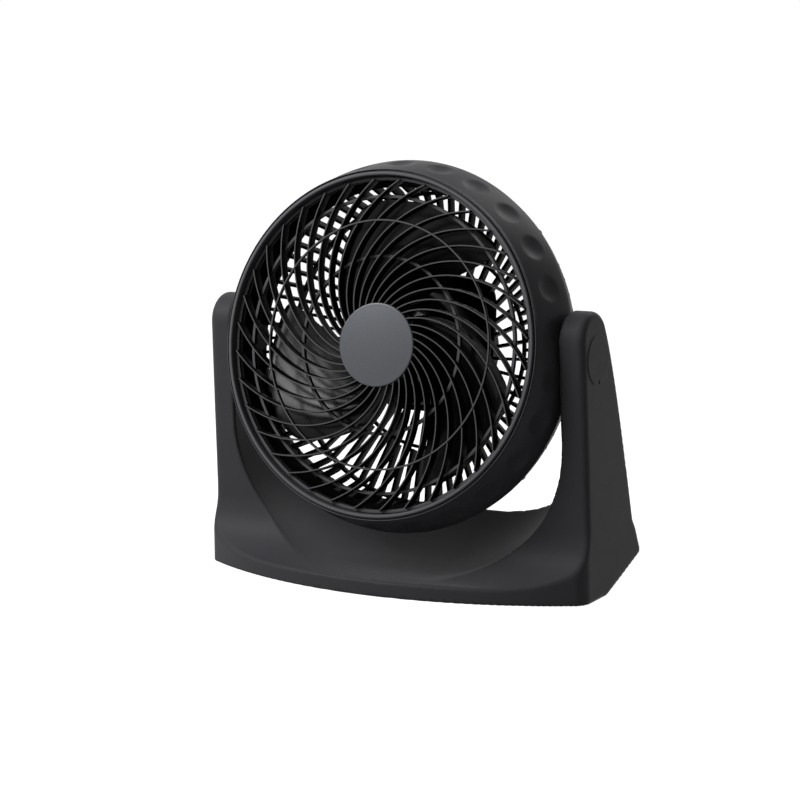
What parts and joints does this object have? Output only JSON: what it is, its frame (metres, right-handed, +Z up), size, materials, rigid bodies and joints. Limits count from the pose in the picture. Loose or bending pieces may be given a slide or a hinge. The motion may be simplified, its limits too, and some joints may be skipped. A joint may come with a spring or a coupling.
{
  "type": "high velocity fan",
  "caption": "Table-top high velocity fan: a round head with a spiral-ribbed front grille tilts between the arms of a moulded U-shaped stand.",
  "frame": {"origin": "middle of the whole fan on the surface that it stands on", "axes": "+X to the viewer's right across the two arms, -Y towards the front grille, +Z up"},
  "size_m": [0.34, 0.166, 0.3344],
  "materials": {
    "charcoal_plastic": "charcoal moulded plastic with a fine spark-eroded grain",
    "shroud_plastic": "charcoal moulded plastic, satin, smoother than the stand",
    "grille_plastic": "charcoal moulded plastic, satin on the rib edges",
    "badge_satin": "satin silver-grey paint on a domed plastic disc",
    "black_plastic": "black moulded plastic, satin",
    "blade_plastic": "black moulded plastic, semi-gloss",
    "underside_plastic": "black moulded plastic, matt",
    "foot_rubber": "black rubber, matt",
    "gland_rubber": "black rubber, matt",
    "zinc_steel": "zinc-plated screws",
    "shaft_steel": "ground steel",
    "lamination_steel": "stacked steel laminations",
    "cast_bracket": "die-cast, raw",
    "sintered_bronze": "oil-filled sintered bronze",
    "winding_copper": "enamelled copper wire"
  },
  "bodies": {
    "stand": {"base_shell": "charcoal_plastic", "base_bottom_plate": "underside_plastic", "foot_front_left": "foot_rubber", "foot_front_right": "foot_rubber", "foot_rear_left": "foot_rubber", "foot_rear_right": "foot_rubber", "base_screw_front_left": "zinc_steel", "base_screw_front_right": "zinc_steel", "base_screw_rear_left": "zinc_steel", "base_screw_rear_right": "zinc_steel", "pivot_screw_left": "zinc_steel", "pivot_screw_right": "zinc_steel", "pivot_washer_left": "underside_plastic", "pivot_washer_right": "underside_plastic", "pivot_cap_left": "charcoal_plastic", "pivot_cap_right": "charcoal_plastic"},
    "head": {"shroud_ring": "shroud_plastic", "front_grille": "grille_plastic", "centre_badge": "badge_satin", "rear_grille": "black_plastic", "motor_cover": "black_plastic", "control_cover": "charcoal_plastic", "motor_bracket_front": "cast_bracket", "motor_bracket_rear": "cast_bracket", "bearing_front": "sintered_bronze", "bearing_rear": "sintered_bronze", "stator_core": "lamination_steel", "stator_winding": "winding_copper", "speed_switch": "underside_plastic", "cord_gland": "gland_rubber", "shroud_screw_1": "zinc_steel", "shroud_screw_2": "zinc_steel", "shroud_screw_3": "zinc_steel", "shroud_screw_4": "zinc_steel", "motor_screw_1": "zinc_steel", "motor_screw_2": "zinc_steel", "motor_screw_3": "zinc_steel", "motor_screw_4": "zinc_steel", "cover_screw_1": "zinc_steel", "cover_screw_2": "zinc_steel"},
    "rotor": {"fan_blade": "blade_plastic", "blade_nut": "blade_plastic", "motor_shaft": "shaft_steel", "rotor_core": "lamination_steel"},
    "knob": {"speed_knob": "charcoal_plastic", "switch_spindle": "shaft_steel"}
  },
  "joints": [
    {"name": "head_tilt", "type": "hinge", "parent": "stand", "child": "head", "pos_m": [0, -0.01197, 0.1883], "axis": [-1, 0, 0], "range_deg": [-8, 82]},
    {"name": "blade_spin", "type": "hinge", "parent": "head", "child": "rotor", "pos_m": [0, -0.01197, 0.1883], "axis": [0, 0.9903, -0.1392], "continuous": true},
    {"name": "speed_turn", "type": "hinge", "parent": "head", "child": "knob", "pos_m": [0, 0.07022, 0.17675], "axis": [0, -0.9903, 0.1392], "range_deg": [0, 135]}
  ]
}
